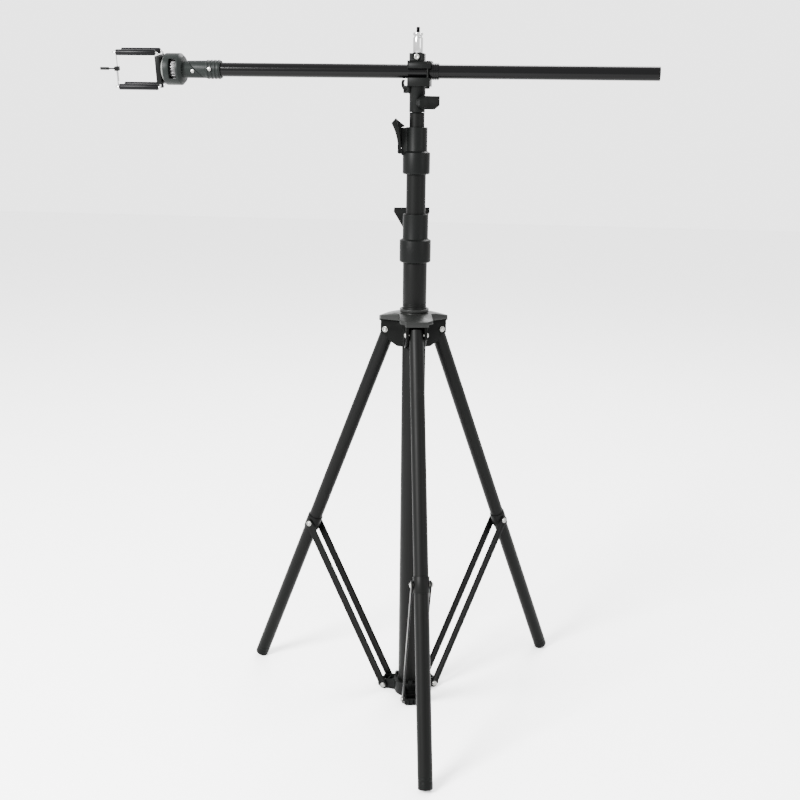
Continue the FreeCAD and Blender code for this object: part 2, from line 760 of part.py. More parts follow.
def clamp_bush():
    # A split liner whose ribbed end stands out beyond the jaw
    right = clamp_right + 11.6
    tube = rod(boom_bush, right - clamp_left, (clamp_left, 0, boom_height), "x")
    ribs = [
        rod(boom_bush + 0.9, 2, (clamp_right + 1.2 + 3.6 * index, 0, boom_height), "x")
        for index in range(3)
    ]
    bore = rod(boom_radius + 0.25, 80, (-40, 0, boom_height), "x")
    slit = block((-40, 60), (-14, 0), (boom_height - 1.2, boom_height + 1.2))
    return cut(fuse(tube, *ribs), bore, slit)


def clamp_lever():
    # A curved cam lever on two trunnions, folded up beside the jaw
    outer = Part.Arc(Vector(-16.5, 0, 1057.6), Vector(-24.6, 0, 1066.5), Vector(-24, 0, 1077))
    tip = Part.LineSegment(Vector(-24, 0, 1077), Vector(-20, 0, 1077))
    inner = Part.Arc(Vector(-20, 0, 1077), Vector(-20.6, 0, 1068), Vector(-16.5, 0, 1065.2))
    root = Part.LineSegment(Vector(-16.5, 0, 1065.2), Vector(-16.5, 0, 1057.6))
    face = Part.Face(Part.Wire([edge.toShape() for edge in (outer, tip, inner, root)]))
    face.translate(Vector(0, -6.4, 0))
    strip = solid(face.extrude(Vector(0, 12.8, 0)))
    eye = rod(3.9, 12.8, (-18, -6.4, 1061.5), "y")
    trunnion = rod(2, 19.6, (-18, -9.8, 1061.5), "y")
    return fuse(strip, eye, trunnion)


def receiver_knob():
    stem = rod(3, 12, (spigot_radius + 0.4, 0, 0), "x")
    hub = cone(8.8, 8, 14, (receiver_radius + 0.8, 0, 0), "x")
    paddle = prism([
        (0, -10.5), (20, -10.5), (29, -4), (29, 10.5), (0, 10.5), (-7, 6), (-7, -6),
    ], "YZ_Plane", receiver_radius + 3.5, receiver_radius + 11)
    return fuse(stem, hub, paddle)


def clamp_pieces():
    node("clamp_body", clamp_body())
    node("clamp_bush", clamp_bush())
    jaw_screw = fuse(
        rod(2, clamp_high - clamp_low + 1, (18, -14.9, clamp_low - 4)),
        rod(3.6, 3.6, (18, -14.9, clamp_low - 3.7)),
    )
    node("jaw_screw", jaw_screw)
    spigot = turned([
        (0, spigot_base - 8.9), (spigot_shank, spigot_base - 8.9),
        (spigot_shank, spigot_base + fit_gap), (spigot_radius, spigot_base + fit_gap),
        (spigot_radius, spigot_groove - 1.8), (spigot_radius - 1.6, spigot_groove - 1),
        (spigot_radius - 1.6, spigot_groove + 1), (spigot_radius, spigot_groove + 1.8),
        (spigot_radius, spigot_top - 0.8), (spigot_radius - 0.8, spigot_top),
        (thread_radius, spigot_top), (thread_radius, thread_top - 0.6),
        (thread_radius - 0.6, thread_top), (0, thread_top),
    ])
    node("top_spigot", spigot)
    screw_height = spigot_base - 5.4
    screw = fuse(rod(2.5, 7, (0, -14.1, screw_height), "y"), rod(4.2, 3, (0, -14.1, screw_height), "y"))
    socket = prism([
        (2.2 * math.cos(math.radians(60 * side)),
         screw_height + 2.2 * math.sin(math.radians(60 * side))) for side in range(6)
    ], "XZ_Plane", -15, -12.4)
    node("spigot_screw", cut(screw, socket))
    node("clamp_lever", clamp_lever())
    frame = about_z(receiver_knob_turn).multiply(
        Placement(Vector(0, 0, receiver_low.value + 15), Rotation()))
    node("receiver_knob", receiver_knob(), frame)


# Boom: tube, end cap and the ribbed sleeve whose end is cut at 45 degrees for the swivel
def joint_half(way):
    # The space on one side of the swivel's slanted face
    low, high = (-60, 0.25) if way > 0 else (-0.25, 60)
    return moved(block((-60, 60), (-60, 60), (low, high)), joint_frame)


def boom_sleeve():
    length = sleeve_right - joint_middle
    outline = [(0, -24), (sleeve_radius - 1, -24), (sleeve_radius - 0.6, length - 25)]
    for index in range(4):
        start = length - 24 + 6 * index
        outline += [(sleeve_radius - 0.6, start), (sleeve_radius + 0.5, start + 1.2),
                    (sleeve_radius + 0.5, start + 3.4), (sleeve_radius - 0.6, start + 4.8)]
    outline += [(sleeve_radius - 0.6, length), (0, length)]
    shell = turned(outline, along="x", spot=(joint_middle, 0, boom_height))
    tube_seat = rod(boom_radius + fit_gap, 40, (boom_left - 0.1, 0, boom_height), "x")
    axle_hole = moved(rod(axle_radius + pin_gap, 13, (0, 0, -0.5)), joint_frame)
    screw_hole = rod(2.05, 20, (-337, -20, boom_height), "y")
    return cut(shell, joint_half(1), tube_seat, axle_hole, screw_hole)


def boom_pieces():
    bore = boom_radius - tube_wall
    tube = turned([
        (bore, 0), (boom_radius, 0), (boom_radius, boom_right - boom_left),
        (bore, boom_right - boom_left),
    ], along="x", spot=(boom_left, 0, boom_height))
    screw_hole = rod(2.05, 20, (-337, -20, boom_height), "y")
    node("boom_tube", cut(tube, screw_hole))
    cap = turned([
        (0, -10), (bore - fit_gap, -10), (bore - fit_gap, 0), (boom_radius, 0),
        (boom_radius, 1.6), (0, 1.6),
    ], rounds=[(boom_radius, 1.6, 0.8)], along="x", spot=(boom_right, 0, boom_height))
    node("boom_end_cap", cap)
    node("boom_sleeve", boom_sleeve())
    screw = fuse(
        rod(2, 6.5, (-337, -15.4, boom_height), "y"),
        cone(2.9, 3.4, 1.6, (-337, -16.6, boom_height), "y"),
    )
    node("sleeve_screw", screw)


# Swivel head: knuckle and cup in one, with a window for the thumb wheel
def head_cup():
    length = cup_right - cup_left
    cup = turned([
        (0, 0), (cup_radius - 0.8, 0), (cup_radius, 0.8), (cup_radius, length - 5),
        (cup_radius - 5, length), (0, length),
    ], along="x", spot=(cup_left, 0, boom_height))
    knuckle = cut(rod(knuckle_radius, 42, (cup_right - 1, 0, boom_height), "x"), joint_half(-1))
    chamber = rod(wheel_radius + 0.7, wheel_right - wheel_left + 1,
                  (wheel_left - 0.5, 0, boom_height), "x")
    window = block((wheel_left - 0.5, wheel_right + 0.5), (-40, 40),
                   (boom_height - 15.5, boom_height + 15.5))
    axle_hole = moved(rod(axle_radius + fit_gap, 12, (0, 0, -9)), joint_frame)
    lock_hole = rod(2.55, 12, (lock_screw, -16, boom_height - 3.3), "y")
    lock_recess = rod(3.8, 4, (lock_screw, -16, boom_height - 3.3), "y")
    screw_hole = rod(thread_radius + 0.3, 20, (cup_left - 5, 0, boom_height), "x")
    return cut(fuse(cup, knuckle), chamber, window, axle_hole, lock_hole, lock_recess, screw_hole)


def head_pieces():
    node("head_cup", head_cup())
    node("swivel_axle", rod(axle_radius, 21, (0, 0, -8.9)), joint_frame)
    lock = fuse(
        rod(2.5, 7, (lock_screw, -13, boom_height - 3.3), "y"),
        cone(2.8, 3.4, 1.6, (lock_screw, -13.8, boom_height - 3.3), "y"),
    )
    node("head_lock_screw", lock)
    pad = turned([
        (thread_radius + 0.4, 0), (18.5, 0), (20.5, 1.4), (20.5, cup_left - pad_left - 0.05),
        (thread_radius + 0.4, cup_left - pad_left - 0.05),
    ], along="x", spot=(pad_left, 0, boom_height))
    node("head_pad", pad)
    wheel = rod(wheel_radius, wheel_right - wheel_left, (wheel_left, 0, boom_height), "x")
    notches = []
    notch_count = 24
    for index in range(notch_count):
        angle = 2 * math.pi * index / notch_count
        spot = (wheel_left - 1, (wheel_radius + 0.6) * math.cos(angle),
                boom_height + (wheel_radius + 0.6) * math.sin(angle))
        notches.append(rod(1.7, 20, spot, "x"))
    screw = rod(thread_radius, wheel_left - base_left + 1, (base_left + 0.5, 0, boom_height), "x")
    node("thumb_wheel", fuse(cut(wheel, *notches), screw))


# Phone clamp: drawn about the boom's axis at z = 0, then rolled and lifted into place
def clamp_wires(way, leg_end, rod_side, rod_end):
    # Two arms joined by a cross wire, with a thin rod at the open end
    left, arm = guide_left.value, way * grip_height.value
    inset = (base_left + base_right).value / 2
    spread = grip_spread.value
    loop = bent_wire([
        Vector(inset, -spread, leg_end), Vector(inset, -spread, arm), Vector(left, -spread, arm),
        Vector(left, spread, arm), Vector(inset, spread, arm), Vector(inset, spread, leg_end),
    ], wire_radius.value, 3.2)
    low, high = sorted((arm, rod_end))
    thin = Part.makeCylinder(thin_wire.value, high - low, Vector(left, rod_side, low))
    return solid(loop.fuse(thin))


def grips(way):
    pair = []
    for side in (-grip_spread, grip_spread):
        spot = (grip_left, side, way * grip_height)
        sleeve = rod(grip_radius, grip_right - grip_left, spot, "x")
        bore = rod(wire_radius + fit_gap, 100, (grip_left - 5, side, way * grip_height), "x")
        pair.append(cut(sleeve, bore))
    return group(*pair)


def phone_clamp_pieces():
    roll = Rotation(Vector(1, 0, 0), clamp_roll)
    frame = Placement(Vector(0, 0, boom_height.value), roll)
    middle = (base_left + base_right) / 2
    bar = block((base_left, base_right), (-base_half_deep, base_half_deep),
                (-base_half_tall, base_half_tall))
    screw_hole = rod(thread_radius + 0.3, 20, (base_left - 5, 0, 0), "x")
    bores = [
        rod(wire_radius + slide_gap, 60, (middle, side, -30)) for side in (-grip_spread, grip_spread)
    ]
    node("clamp_base", cut(bar, screw_hole, *bores), frame)
    node("lower_wires", clamp_wires(-1, -11, -2.2, -3), frame)
    node("lower_grips", grips(-1), frame)
    node("upper_wires", clamp_wires(1, -8, 2.2, -20), frame)
    node("upper_grips", grips(1), frame)
    left = guide_left
    guide = cut(
        block((left - 3.4, left + 3.4), (-4.6, 4.6), (-3.4, 3.4)),
        rod(thin_wire + slide_gap, 20, (left, 2.2, -10)),
        rod(thin_wire + fit_gap, 7, (left, -2.2, -10)),
    )
    stem = rod(1.2, 12, (left - 15, 0, 0), "x")
    tip = rod(2.4, 14.5, (left - 28.5, 0, 0), "x")
    node("guide_block", fuse(guide, stem, tip), frame)


def check_and_write():
    doc.recompute()
    for item in doc.Objects:
        bad = [state for state in item.State if state in ("Invalid", "Error")]
        if bad:
            raise RuntimeError(f"{item.Label} is {bad}")
    os.makedirs("parts", exist_ok=True)
    for piece in nodes:
        shape = piece.Shape
        if shape.isNull() or not shape.isValid() or not shape.Solids:
            raise RuntimeError(f"{piece.Label} has no valid shape")
    for piece in nodes:
        piece.Shape.exportStep(f"parts/{piece.Label}.step")
    print(len(nodes), "nodes, leg lean", round(leg_lean, 3), "brace lean", round(brace_lean, 3),
          "brace length", round(brace_length, 3))


column_pieces()
crown_pieces()
crown_knob()
for side, angle in leg_turns.items():
    leg_pieces(side, angle)
    brace_pieces(side, angle)
section_pieces()
clamp_pieces()
boom_pieces()
head_pieces()
phone_clamp_pieces()
check_and_write()
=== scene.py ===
import json
import math

import bmesh
import bpy
from mathutils import Matrix, Vector

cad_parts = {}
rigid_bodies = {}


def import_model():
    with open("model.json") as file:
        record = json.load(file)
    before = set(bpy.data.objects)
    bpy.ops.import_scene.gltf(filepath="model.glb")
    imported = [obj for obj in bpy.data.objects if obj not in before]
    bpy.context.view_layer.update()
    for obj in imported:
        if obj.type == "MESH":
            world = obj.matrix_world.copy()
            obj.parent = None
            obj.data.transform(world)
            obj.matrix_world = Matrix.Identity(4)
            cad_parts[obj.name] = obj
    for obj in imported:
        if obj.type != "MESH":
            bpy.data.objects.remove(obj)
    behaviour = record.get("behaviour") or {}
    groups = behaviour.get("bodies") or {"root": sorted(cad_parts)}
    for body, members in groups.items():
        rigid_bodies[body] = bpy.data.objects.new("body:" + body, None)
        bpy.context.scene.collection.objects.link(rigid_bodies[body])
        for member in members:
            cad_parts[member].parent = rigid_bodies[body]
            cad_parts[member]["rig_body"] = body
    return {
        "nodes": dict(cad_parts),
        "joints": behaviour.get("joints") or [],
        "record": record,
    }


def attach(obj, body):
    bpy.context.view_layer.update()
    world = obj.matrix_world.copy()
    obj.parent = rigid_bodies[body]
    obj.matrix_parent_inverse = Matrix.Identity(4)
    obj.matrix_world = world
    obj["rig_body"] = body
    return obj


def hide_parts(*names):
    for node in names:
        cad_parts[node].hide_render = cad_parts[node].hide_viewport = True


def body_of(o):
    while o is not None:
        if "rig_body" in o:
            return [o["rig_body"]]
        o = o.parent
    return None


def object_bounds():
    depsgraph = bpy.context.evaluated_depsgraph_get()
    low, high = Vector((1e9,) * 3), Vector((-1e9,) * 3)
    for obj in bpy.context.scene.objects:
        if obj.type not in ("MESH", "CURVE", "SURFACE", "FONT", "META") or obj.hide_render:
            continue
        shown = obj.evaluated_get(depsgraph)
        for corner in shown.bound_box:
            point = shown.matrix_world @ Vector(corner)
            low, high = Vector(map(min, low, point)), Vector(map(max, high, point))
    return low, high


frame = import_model()
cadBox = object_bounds()
mm = 0.001
joints = {joint["name"]: joint for joint in frame["joints"]}
legSides = ("front", "right", "left")
print("frame loaded,", len(frame["nodes"]), "nodes")


# Camera, floor and lights
camera = {"distance": 1.855, "height": 1.0275, "yaw": 7, "pitch": -14.44, "roll": 0.8,
          "lens": 50.34, "sensor": 36, "shiftX": -0.0163, "near": 0.05, "far": 60}


def makeCamera():
    data = bpy.data.cameras.new("camera")
    data.sensor_width = camera["sensor"]
    data.lens = camera["lens"]
    data.shift_x = camera["shiftX"]
    data.clip_start = camera["near"]
    data.clip_end = camera["far"]
    eye = bpy.data.objects.new("camera", data)
    bpy.context.scene.collection.objects.link(eye)
    yaw = math.radians(camera["yaw"])
    eye.location = (camera["distance"] * math.sin(yaw), -camera["distance"] * math.cos(yaw),
                    camera["height"])
    tilt = Matrix.Rotation(math.radians(90 + camera["pitch"]), 4, "X")
    roll = Matrix.Rotation(math.radians(camera["roll"]), 4, "Z")
    turn = Matrix.Rotation(yaw, 4, "Z")
    eye.rotation_euler = (turn @ tilt @ roll).to_euler()
    bpy.context.scene.camera = eye


studio = {"floorSize": 9, "floorColor": (0.9, 0.9, 0.9, 1), "floorRough": 0.9,
          "skyColor": (1, 1, 1, 1), "skyStrength": 3.2}


def makeStage():
    bm = bmesh.new()
    bmesh.ops.create_grid(bm, x_segments=1, y_segments=1, size=studio["floorSize"])
    mesh = bpy.data.meshes.new("floor")
    bm.to_mesh(mesh)
    bm.free()
    floor = bpy.data.objects.new("floor", mesh)
    bpy.context.scene.collection.objects.link(floor)
    material = bpy.data.materials.new("paleFloor")
    material.use_nodes = True
    shader = material.node_tree.nodes["Principled BSDF"]
    shader.inputs["Base Color"].default_value = studio["floorColor"]
    shader.inputs["Roughness"].default_value = studio["floorRough"]
    mesh.materials.append(material)
    world = bpy.data.worlds.new("studio")
    world.use_nodes = True
    sky = world.node_tree.nodes["Background"]
    sky.inputs["Color"].default_value = studio["skyColor"]
    sky.inputs["Strength"].default_value = studio["skyStrength"]
    bpy.context.scene.world = world


softLights = {
    "keyLeft": {"at": (-2.0, -2.6, 2.4), "size": 1.3, "power": 780},
    "fillRight": {"at": (2.6, -1.4, 1.4), "size": 1.2, "power": 40},
    "topBack": {"at": (0.3, 1.8, 3.0), "size": 1.5, "power": 150},
}


def makeLights():
    middle = (cadBox[0] + cadBox[1]) / 2
    for name, values in softLights.items():
        data = bpy.data.lights.new(name, "AREA")
        data.size = values["size"]
        data.energy = values["power"]
        lamp = bpy.data.objects.new(name, data)
        bpy.context.scene.collection.objects.link(lamp)
        lamp.location = values["at"]
        lamp.rotation_euler = (middle - lamp.location).to_track_quat("-Z", "Y").to_euler()


makeCamera()
makeStage()
makeLights()
print("camera, floor and lights made")


# Shared effects, as node groups
def newGroup(name, inputs, outputs):
    # each input is (label, kind, default or None), each output is (label, kind)
    group = bpy.data.node_groups.new(name, "ShaderNodeTree")
    for label, kind, value in inputs:
        socket = group.interface.new_socket(label, in_out="INPUT", socket_type=kind)
        if value is not None:
            socket.default_value = value
    for label, kind in outputs:
        group.interface.new_socket(label, in_out="OUTPUT", socket_type=kind)
    start = group.nodes.new("NodeGroupInput")
    end = group.nodes.new("NodeGroupOutput")
    return group, start, end


def addNode(tree, kind, values=None, **settings):
    item = tree.nodes.new(kind)
    for name, value in settings.items():
        setattr(item, name, value)
    for name, value in (values or {}).items():
        item.inputs[name].default_value = value
    return item


def makeGrainGroup():
    # fine moulded or powder-coat grain: a normal, and a broad mask that mottles the gloss
    group, start, end = newGroup("surfaceGrain", [
        ("Vector", "NodeSocketVector", None), ("Scale", "NodeSocketFloat", 900.0),
        ("Bump", "NodeSocketFloat", 0.2), ("Depth", "NodeSocketFloat", 0.0001),
    ], [("Normal", "NodeSocketVector"), ("Mottle", "NodeSocketFloat")])
    fine = addNode(group, "ShaderNodeTexNoise", {"Detail": 3.0, "Roughness": 0.6})
    broad = addNode(group, "ShaderNodeTexNoise", {"Scale": 14.0, "Detail": 5.0, "Roughness": 0.65})
    bump = addNode(group, "ShaderNodeBump")
    link = group.links.new
    link(start.outputs["Vector"], fine.inputs["Vector"])
    link(start.outputs["Vector"], broad.inputs["Vector"])
    link(start.outputs["Scale"], fine.inputs["Scale"])
    link(start.outputs["Bump"], bump.inputs["Strength"])
    link(start.outputs["Depth"], bump.inputs["Distance"])
    link(fine.outputs["Fac"], bump.inputs["Height"])
    link(bump.outputs["Normal"], end.inputs["Normal"])
    link(broad.outputs["Fac"], end.inputs["Mottle"])
    return group


def makeWearAndReflectionGroup():
    # faint rubs, and on chrome painted dark reflection streaks: a tint between two colours, and a roughness
    # between two values
    group, start, end = newGroup("wearAndReflectionMarks", [
        ("Vector", "NodeSocketVector", None), ("Mottle", "NodeSocketFloat", 0.5),
        ("Clean", "NodeSocketColor", (0.02, 0.02, 0.02, 1)),
        ("RubbedAndReflection", "NodeSocketColor", (0.05, 0.05, 0.05, 1)),
        ("Low", "NodeSocketFloat", 0.3), ("High", "NodeSocketFloat", 0.5),
    ], [("Color", "NodeSocketColor"), ("Roughness", "NodeSocketFloat")])
    scratch = addNode(group, "ShaderNodeTexNoise", {"Scale": 60.0, "Detail": 6.0, "Roughness": 0.75})
    pick = addNode(group, "ShaderNodeMapRange", {"From Min": 0.58, "From Max": 0.75})
    mix = addNode(group, "ShaderNodeMix", data_type="RGBA")
    rough = addNode(group, "ShaderNodeMapRange", {"From Min": 0.3, "From Max": 0.7})
    link = group.links.new
    link(start.outputs["Vector"], scratch.inputs["Vector"])
    link(scratch.outputs["Fac"], pick.inputs["Value"])
    link(pick.outputs["Result"], mix.inputs["Factor"])
    link(start.outputs["Clean"], mix.inputs["A"])
    link(start.outputs["RubbedAndReflection"], mix.inputs["B"])
    link(start.outputs["Mottle"], rough.inputs["Value"])
    link(start.outputs["Low"], rough.inputs["To Min"])
    link(start.outputs["High"], rough.inputs["To Max"])
    link(mix.outputs["Result"], end.inputs["Color"])
    link(rough.outputs["Result"], end.inputs["Roughness"])
    return group


surfaceGrain = makeGrainGroup()
wearAndReflectionMarks = makeWearAndReflectionGroup()


# Finishes. "clean" is the first colour and the second is rubbed wear, except on chrome, where the second
# colour is a painted dark reflection. "rough" is the span of roughness, "stretch" scales the texture's axes,
# so that a low value draws the marks out along that axis
finishes = {
    "tubeBlack": {"clean": (0.0013, 0.0014, 0.0013), "rubbedAndReflection": (0.003, 0.0031, 0.0029),
                  "rough": (0.38, 0.5), "grain": 700, "bump": 0.05, "shine": 0.05,
                  "stretch": (1, 1, 0.05)},
    "boomBlack": {"clean": (0.0008, 0.0008, 0.0009), "rubbedAndReflection": (0.002, 0.002, 0.002),
                  "rough": (0.14, 0.24), "grain": 700, "bump": 0.03, "shine": 0.055, "coat": 0.04,
                  "stretch": (0.05, 1, 1)},
    "castBlack": {"clean": (0.0018, 0.002, 0.0019), "rubbedAndReflection": (0.0045, 0.0048, 0.0045),
                  "rough": (0.34, 0.48), "grain": 420, "bump": 0.3, "shine": 0.042},
    "shadowBlack": {"clean": (0.0008, 0.0009, 0.0008), "rubbedAndReflection": (0.0024, 0.0025, 0.0024),
                    "rough": (0.32, 0.46), "grain": 600, "bump": 0.2, "shine": 0.028},
    "coverGrey": {"clean": (0.0055, 0.0058, 0.0055), "rubbedAndReflection": (0.0105, 0.011, 0.0104),
                  "rough": (0.3, 0.44), "grain": 900, "bump": 0.22, "shine": 0.085},
    "mouldedBlack": {"clean": (0.0017, 0.0019, 0.0018), "rubbedAndReflection": (0.004, 0.0043, 0.0041),
                     "rough": (0.34, 0.48), "grain": 1100, "bump": 0.22, "shine": 0.042},
    "greenGrey": {"clean": (0.0045, 0.0056, 0.0052), "rubbedAndReflection": (0.009, 0.0105, 0.0098),
                  "rough": (0.36, 0.5), "grain": 1000, "bump": 0.25, "shine": 0.06},
    "rimGrey": {"clean": (0.07, 0.074, 0.07), "rubbedAndReflection": (0.045, 0.048, 0.045),
                "rough": (0.4, 0.55), "grain": 1200, "bump": 0.2, "shine": 0.15},
    "strapBlack": {"clean": (0.0013, 0.0014, 0.0013), "rubbedAndReflection": (0.0055, 0.0057, 0.0054),
                   "rough": (0.3, 0.44), "grain": 500, "bump": 0.12, "shine": 0.04},
    "brightZinc": {"clean": (0.2, 0.2, 0.19), "rubbedAndReflection": (0.05, 0.05, 0.048), "rough": (0.2, 0.38),
                   "grain": 600, "bump": 0.1, "metal": 1},
    # on the chrome the darker second colour, drawn out into upright streaks, is a painted dark reflection
    "polishedChrome": {"clean": (0.34, 0.34, 0.34), "rubbedAndReflection": (0.03, 0.03, 0.03),
                       "rough": (0.06, 0.16), "grain": 300, "bump": 0.03, "metal": 1,
                       "stretch": (11, 11, 0.2)},
    "satinNickel": {"clean": (0.05, 0.05, 0.05), "rubbedAndReflection": (0.02, 0.02, 0.02),
                    "rough": (0.25, 0.4), "grain": 800, "bump": 0.15, "metal": 1},
    "softRubber": {"clean": (0.0008, 0.0008, 0.0011), "rubbedAndReflection": (0.002, 0.002, 0.0024),
                   "rough": (0.3, 0.44), "grain": 1500, "bump": 0.2, "shine": 0.06},
}
plain = {"shine": 0.5, "stretch": (1, 1, 1), "metal": 0, "coat": 0}
coatRough = 0.12
materials = {}


def makeFinish(name, given):
    values = {**plain, **given}
    material = bpy.data.materials.new(name)
    material.use_nodes = True
    tree = material.node_tree
    shader = tree.nodes["Principled BSDF"]
    coordinates = addNode(tree, "ShaderNodeTexCoord")
    mapping = addNode(tree, "ShaderNodeMapping", {"Scale": values["stretch"]})
    grain = addNode(tree, "ShaderNodeGroup", node_tree=surfaceGrain)
    grain.inputs["Scale"].default_value = values["grain"]
    grain.inputs["Bump"].default_value = values["bump"]
    marks = addNode(tree, "ShaderNodeGroup", node_tree=wearAndReflectionMarks)
    marks.inputs["Clean"].default_value = (*values["clean"], 1)
    marks.inputs["RubbedAndReflection"].default_value = (*values["rubbedAndReflection"], 1)
    lowRough, highRough = values["rough"]
    marks.inputs["Low"].default_value = lowRough
    marks.inputs["High"].default_value = highRough
    link = tree.links.new
    link(coordinates.outputs["Object"], mapping.inputs["Vector"])
    for group in (grain, marks):
        link(mapping.outputs["Vector"], group.inputs["Vector"])
    link(grain.outputs["Mottle"], marks.inputs["Mottle"])
    link(grain.outputs["Normal"], shader.inputs["Normal"])
    link(marks.outputs["Color"], shader.inputs["Base Color"])
    link(marks.outputs["Roughness"], shader.inputs["Roughness"])
    shader.inputs["Metallic"].default_value = values["metal"]
    shader.inputs["Specular IOR Level"].default_value = values["shine"]
    shader.inputs["Coat Weight"].default_value = values["coat"]
    shader.inputs["Coat Roughness"].default_value = coatRough
    materials[name] = material


for finishName, finishValues in finishes.items():
    makeFinish(finishName, finishValues)
print("finishes made:", len(materials))

slotFinish = {"black_tube": "tubeBlack", "black_casting": "castBlack", "cap_casting": "coverGrey",
              "black_plastic": "mouldedBlack", "brace_steel": "strapBlack",
              "zinc_fastener": "brightZinc", "chrome_steel": "polishedChrome",
              "wheel_metal": "satinNickel", "soft_rubber": "softRubber"}
nodeSlot = {part["node"]: part["material_slot"] for part in frame["record"]["subparts"]}
ownFinish = {"boom_tube": "boomBlack", "boom_end_cap": "boomBlack", "jaw_screw": "shadowBlack",
             "stand_spigot": "shadowBlack", "crown_body": "shadowBlack", "head_pad": "rimGrey",
             "boom_sleeve": "greenGrey", "head_cup": "greenGrey", "clamp_bush": "boomBlack",
             "clamp_lever": "shadowBlack", "lower_lever_pin": "shadowBlack",
             "upper_lever_pin": "shadowBlack", "brace_band_front": "tubeBlack",
             "brace_band_right": "tubeBlack", "brace_band_left": "tubeBlack"}


def finishOf(node):
    return materials[ownFinish.get(node, slotFinish[nodeSlot[node]])]


for nodeName, nodeObject in frame["nodes"].items():
    nodeObject.data.materials.clear()
    nodeObject.data.materials.append(finishOf(nodeName))


# Makers that every piece uses
smoothing = {"sharpAbove": 32}
softening = {"merge": 0.01, "flat": 0.6, "sharpAbove": 40, "segments": 2}


def smoothByAngle(bm):
    for face in bm.faces:
        face.smooth = True
    sharpest = math.radians(smoothing["sharpAbove"])
    for edge in bm.edges:
        edge.smooth = len(edge.link_faces) == 2 and edge.calc_face_angle(0) < sharpest


def finishPiece(name, bm, node, finish=None):
    # the piece takes its body and slot from the CAD node that it stands for
    smoothByAngle(bm)
    mesh = bpy.data.meshes.new(name)
    bm.to_mesh(mesh)
    bm.free()
    piece = bpy.data.objects.new(name, mesh)
    bpy.context.scene.collection.objects.link(piece)
    mesh.materials.append(materials[finish] if finish else finishOf(node))
    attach(piece, body_of(frame["nodes"][node])[0])
    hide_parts(node)


def softCopy(name, node, width):
    # the CAD node's own shape with its hard edges rounded off
    bm = bmesh.new()
    bm.from_mesh(frame["nodes"][node].data)
    bmesh.ops.remove_doubles(bm, verts=bm.verts, dist=softening["merge"] * mm)
    bmesh.ops.dissolve_limit(bm, angle_limit=math.radians(softening["flat"]), verts=bm.verts, edges=bm.edges,
                             use_dissolve_boundaries=False, delimit=set())
    sharpest = math.radians(softening["sharpAbove"])
    hard = [edge for edge in bm.edges
            if len(edge.link_faces) == 2 and edge.calc_face_angle(0) > sharpest]
    bmesh.ops.bevel(bm, geom=hard, offset=width * mm, offset_type="OFFSET", affect="EDGES",
                    segments=softening["segments"], profile=0.5, material=-1,
                    clamp_overlap=False, loop_slide=True)
    bmesh.ops.triangulate(bm, faces=[face for face in bm.faces if len(face.verts) > 4])
    finishPiece(name, bm, node)


# each piece, the CAD node it is made from, and the width of its rounded edges in mm
softEdges = {
    "lowerSpider": ("lower_spider", 0.5), "lowerCollar": ("lower_collar", 0.5),
    "upperCollar": ("upper_collar", 0.5), "crownBody": ("crown_body", 0.5),
    "crownCover": ("crown_cap", 1.4), "clampBody": ("clamp_body", 0.6),
    "headCup": ("head_cup", 0.5), "clampBase": ("clamp_base", 0.8),
    "lowerLever": ("lower_lever", 0.6), "upperLever": ("upper_lever", 0.6),
    "clampLever": ("clamp_lever", 0.7), "receiverKnob": ("receiver_knob", 0.9),
    "boomSleeve": ("boom_sleeve", 0.4), "guideBlock": ("guide_block", 0.4),
    "lowerGrips": ("lower_grips", 1.3), "upperGrips": ("upper_grips", 1.3),
    "boomEndCap": ("boom_end_cap", 0.5), "headPad": ("head_pad", 0.5),
    "thumbWheel": ("thumb_wheel", 0.25), "crownKnob": ("crown_knob", 0.8),
    "spigotScrew": ("spigot_screw", 0.3), "sleeveScrew": ("sleeve_screw", 0.3),
    "headLockScrew": ("head_lock_screw", 0.3), "jawScrew": ("jaw_screw", 0.3),
}
for side in legSides:
    softEdges[f"braceBars{side.title()}"] = (f"brace_bars_{side}", 0.35)
    softEdges[f"braceRivets{side.title()}"] = (f"brace_rivets_{side}", 0.4)
    softEdges[f"braceBand{side.title()}"] = (f"brace_band_{side}", 0.3)
for pieceName, (cadName, edgeWidth) in softEdges.items():
    softCopy(pieceName, cadName, edgeWidth)
print("soft-edged pieces made:", len(softEdges))


# Turned pieces. Outlines are (radius, height) in mm
upright = Matrix.Identity(4)
weld = 0.004
cornerSegments = 2


def lathe(bm, outline, place, rounding, steps, closed=False):
    # rounds the outline's corners, turns it a full circle and adds it to the piece
    own = bmesh.new()
    points = [own.verts.new((radius * mm, 0, height * mm)) for radius, height in outline]
    for pair in zip(points, points[1:] + points[:1] if closed else points[1:]):
        own.edges.new(pair)
    corners = [vert for vert in own.verts if len(vert.link_edges) == 2]
    bmesh.ops.bevel(own, geom=corners, offset=rounding * mm, offset_type="OFFSET", affect="VERTICES",
                    segments=cornerSegments, profile=0.5, material=-1, clamp_overlap=True)
    bmesh.ops.spin(own, geom=own.verts[:] + own.edges[:], cent=(0, 0, 0), axis=(0, 0, 1),
                   dvec=(0, 0, 0), angle=math.tau, steps=steps, use_merge=True)
    bmesh.ops.remove_doubles(own, verts=own.verts, dist=weld * mm)
    bmesh.ops.recalc_face_normals(own, faces=own.faces)
    bmesh.ops.transform(own, matrix=place, verts=own.verts)
    made = bpy.data.meshes.new("turned")
    own.to_mesh(made)
    own.free()
    bm.from_mesh(made)
    bpy.data.meshes.remove(made)


def along(direction, at):
    # a frame whose height runs along a direction from a point
    return Matrix.Translation(Vector(at)) @ Vector(direction).to_track_quat("Z", "Y").to_matrix().to_4x4()


